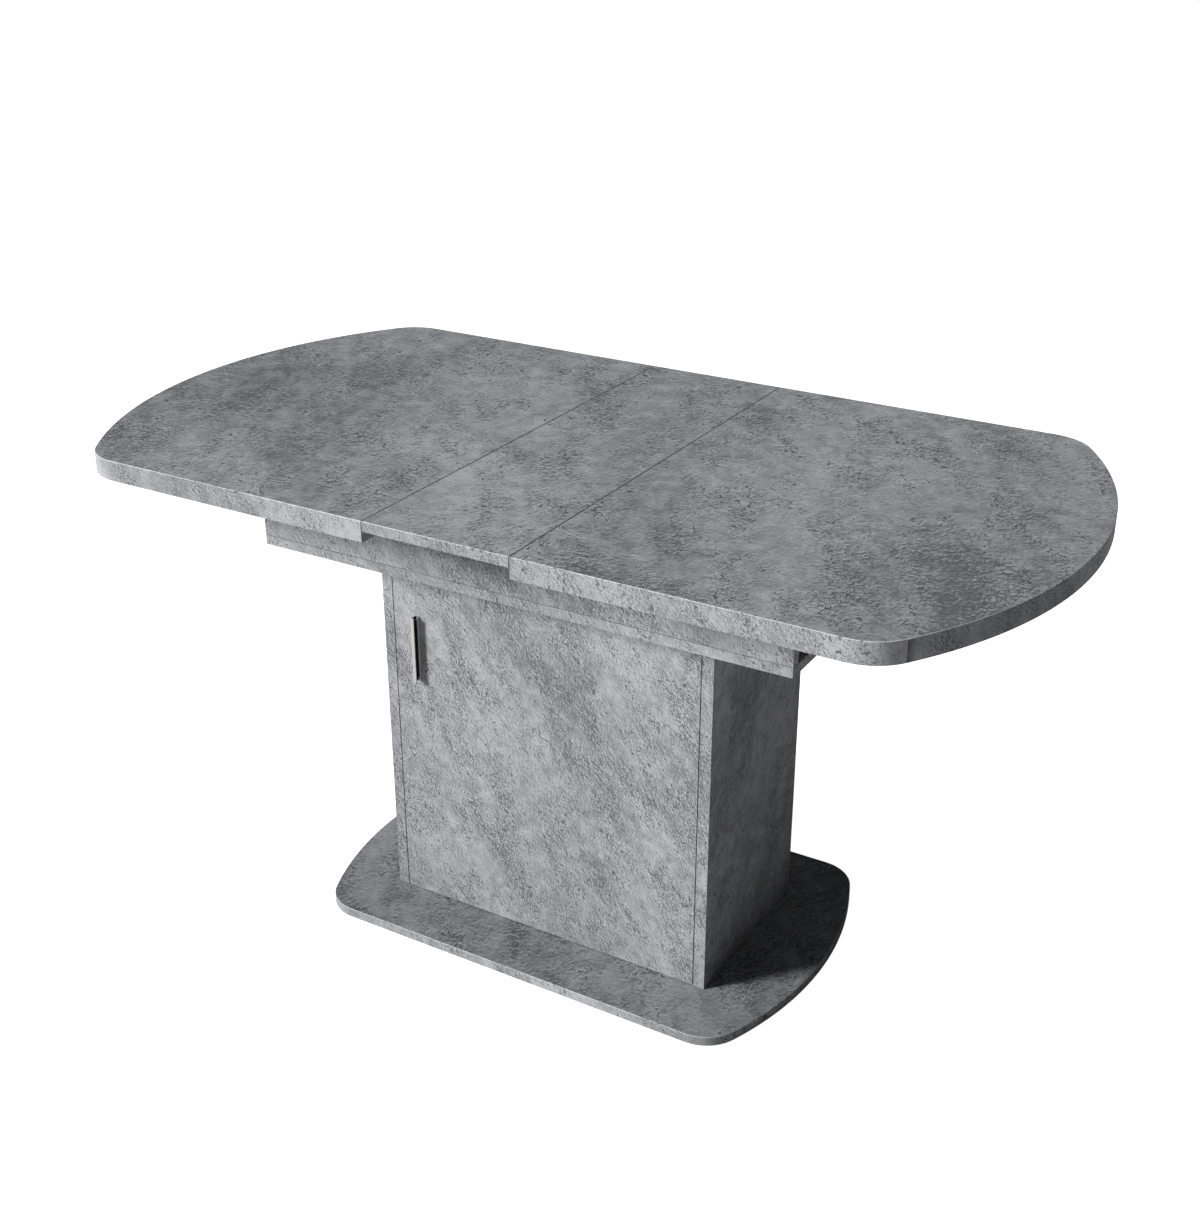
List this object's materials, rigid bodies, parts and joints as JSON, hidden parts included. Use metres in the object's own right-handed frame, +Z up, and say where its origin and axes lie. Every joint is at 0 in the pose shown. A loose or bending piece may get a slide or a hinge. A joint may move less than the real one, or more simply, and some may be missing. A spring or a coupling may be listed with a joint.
{
  "type": "extendable dining table",
  "caption": "Extendable dining table with bowed ends, a lift-out centre leaf, a leaf-storage tray and a cupboard pedestal on a bowed base plate.",
  "frame": {"origin": "on the floor under the middle of the table", "axes": "+X along the table towards its right end as seen from the door side, -Y towards the cupboard door, +Z up"},
  "size_m": [1.446, 0.778, 0.763],
  "materials": {
    "concrete_laminate": "matt melamine laminate with a cast-concrete pattern, on chipboard",
    "concrete_edge_band": "matt plastic edge band in the same concrete pattern",
    "chipboard": "raw chipboard",
    "beech": "planed solid beech",
    "zinc_steel": "zinc-plated steel",
    "nickel_steel": "satin nickel-plated steel",
    "aluminium": "satin anodised aluminium",
    "white_plastic": "white moulded plastic",
    "black_plastic": "black moulded plastic"
  },
  "bodies": {
    "pedestal": {"tray_board": "concrete_laminate", "front_apron": "concrete_laminate", "back_apron": "concrete_laminate", "left_front_slide_outer": "zinc_steel", "left_back_slide_outer": "zinc_steel", "right_front_slide_outer": "zinc_steel", "right_back_slide_outer": "zinc_steel", "left_side_panel": "concrete_laminate", "right_side_panel": "concrete_laminate", "back_panel": "concrete_laminate", "shelf": "concrete_laminate", "shelf_pin_left_front": "nickel_steel", "shelf_pin_left_back": "nickel_steel", "shelf_pin_right_front": "nickel_steel", "shelf_pin_right_back": "nickel_steel", "lower_hinge_arm": "nickel_steel", "upper_hinge_arm": "nickel_steel", "magnetic_catch": "white_plastic", "base_plate": "concrete_laminate", "base_edge_band": "concrete_edge_band", "left_front_glide": "black_plastic", "left_back_glide": "black_plastic", "right_front_glide": "black_plastic", "right_back_glide": "black_plastic"},
    "left_top": {"left_top_panel": "concrete_laminate", "left_front_strip": "chipboard", "left_back_strip": "chipboard", "left_end_strip": "chipboard", "left_inner_strip": "chipboard", "left_edge_band": "concrete_edge_band", "left_front_runner": "beech", "left_back_runner": "beech", "left_front_slide_inner": "zinc_steel", "left_back_slide_inner": "zinc_steel"},
    "right_top": {"right_top_panel": "concrete_laminate", "right_front_strip": "chipboard", "right_back_strip": "chipboard", "right_end_strip": "chipboard", "right_inner_strip": "chipboard", "right_edge_band": "concrete_edge_band", "right_front_runner": "beech", "right_back_runner": "beech", "right_front_slide_inner": "zinc_steel", "right_back_slide_inner": "zinc_steel"},
    "left_retainers": {"left_front_ball_retainer": "nickel_steel", "left_back_ball_retainer": "nickel_steel"},
    "right_retainers": {"right_front_ball_retainer": "nickel_steel", "right_back_ball_retainer": "nickel_steel"},
    "leaf": {"leaf_panel": "concrete_laminate", "leaf_front_edge_band": "concrete_edge_band", "leaf_back_edge_band": "concrete_edge_band", "leaf_front_batten": "beech", "leaf_back_batten": "beech"},
    "door": {"door_panel": "concrete_laminate", "door_handle": "aluminium", "lower_handle_screw": "zinc_steel", "upper_handle_screw": "zinc_steel", "lower_hinge_cup": "nickel_steel", "upper_hinge_cup": "nickel_steel", "strike_plate": "zinc_steel"}
  },
  "joints": [
    {"name": "left_top_slide", "type": "slide", "parent": "pedestal", "child": "left_top", "axis": [-1, 0, 0], "range_m": [0, 0.04]},
    {"name": "right_top_slide", "type": "slide", "parent": "pedestal", "child": "right_top", "axis": [1, 0, 0], "range_m": [0, 0.04]},
    {"name": "left_retainer_slide", "type": "slide", "parent": "pedestal", "child": "left_retainers", "axis": [-1, 0, 0], "range_m": [0, 0.02]},
    {"name": "right_retainer_slide", "type": "slide", "parent": "pedestal", "child": "right_retainers", "axis": [1, 0, 0], "range_m": [0, 0.02]},
    {"name": "leaf_lift", "type": "slide", "parent": "pedestal", "child": "leaf", "axis": [0, 0, 1], "range_m": [0, 0.3]},
    {"name": "door_hinge", "type": "hinge", "parent": "pedestal", "child": "door", "pos_m": [0.25625, -0.148, 0.312], "axis": [0, 0, 1], "range_deg": [0, 95]}
  ],
  "couplings": [
    {"joint": "left_retainer_slide", "follows": "left_top_slide", "ratio": 0.5},
    {"joint": "right_retainer_slide", "follows": "right_top_slide", "ratio": 0.5}
  ]
}
